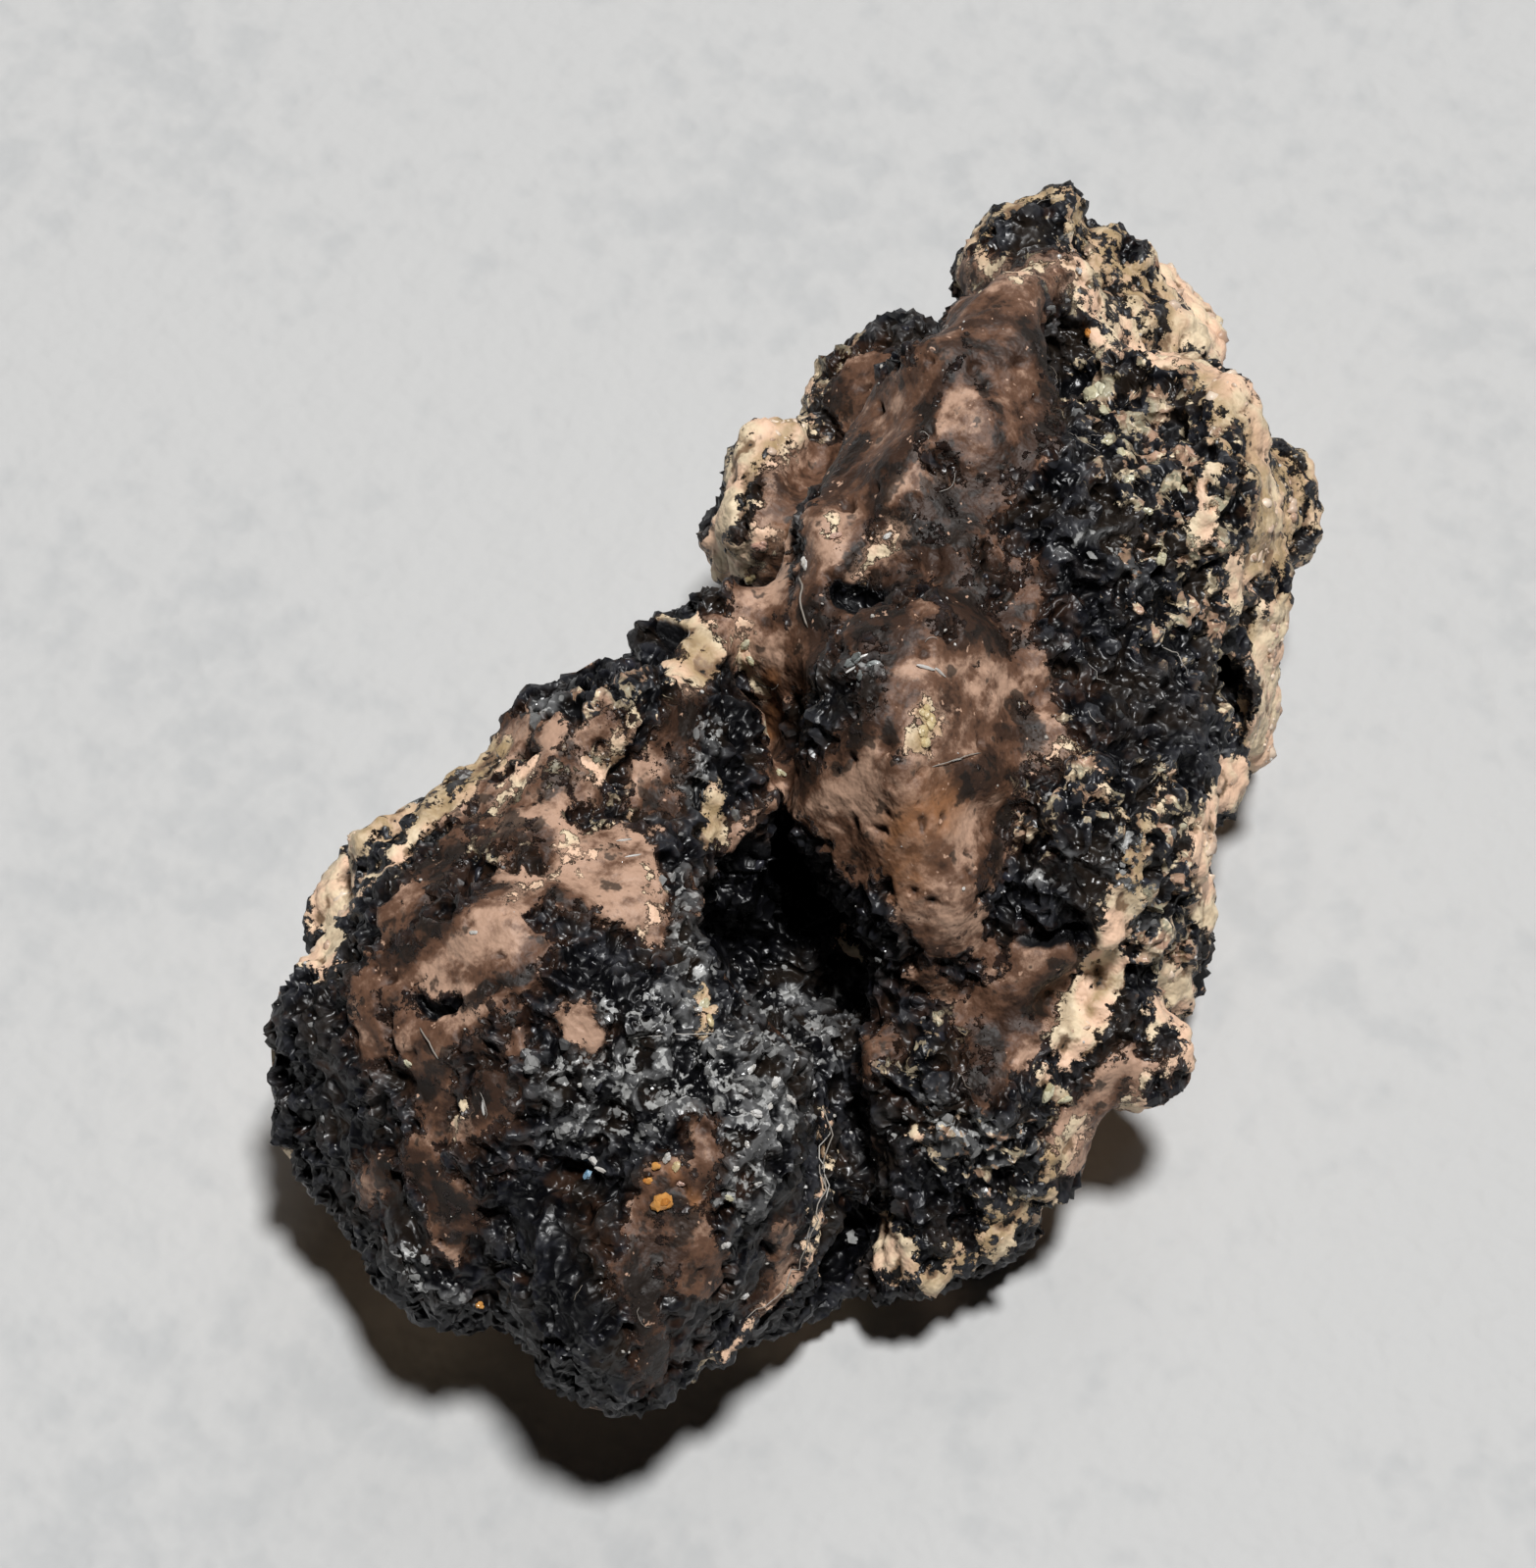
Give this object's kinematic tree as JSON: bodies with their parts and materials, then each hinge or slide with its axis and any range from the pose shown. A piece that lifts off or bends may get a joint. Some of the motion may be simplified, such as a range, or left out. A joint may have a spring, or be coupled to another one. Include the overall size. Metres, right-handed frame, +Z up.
{
  "type": "inesite specimen",
  "caption": "Rough thumbnail specimen of inesite: lobed brown and flesh-pink mineral under a granular black manganese oxide crust, split by a deep cleft.",
  "frame": {"origin": "on the surface that the stone rests on, below the middle of its bounding box", "axes": "+Z up, +Y along the stone's length towards the end of the larger, far lobe, +X to its right side"},
  "size_m": [0.0194, 0.0324, 0.0125],
  "materials": {
    "stone": "granular black oxide crust with waxy brown and flesh-pink inesite showing through",
    "oxide_grains": "sparkling bluish-black manganese oxide grains",
    "pale_inesite": "granular flesh-pink to cream crystals with a soft gloss",
    "sand": "fine quartz sand grains, some glassy",
    "lint": "fine pale fibres"
  },
  "bodies": {
    "root": {"stone": "stone"}
  },
  "joints": []
}
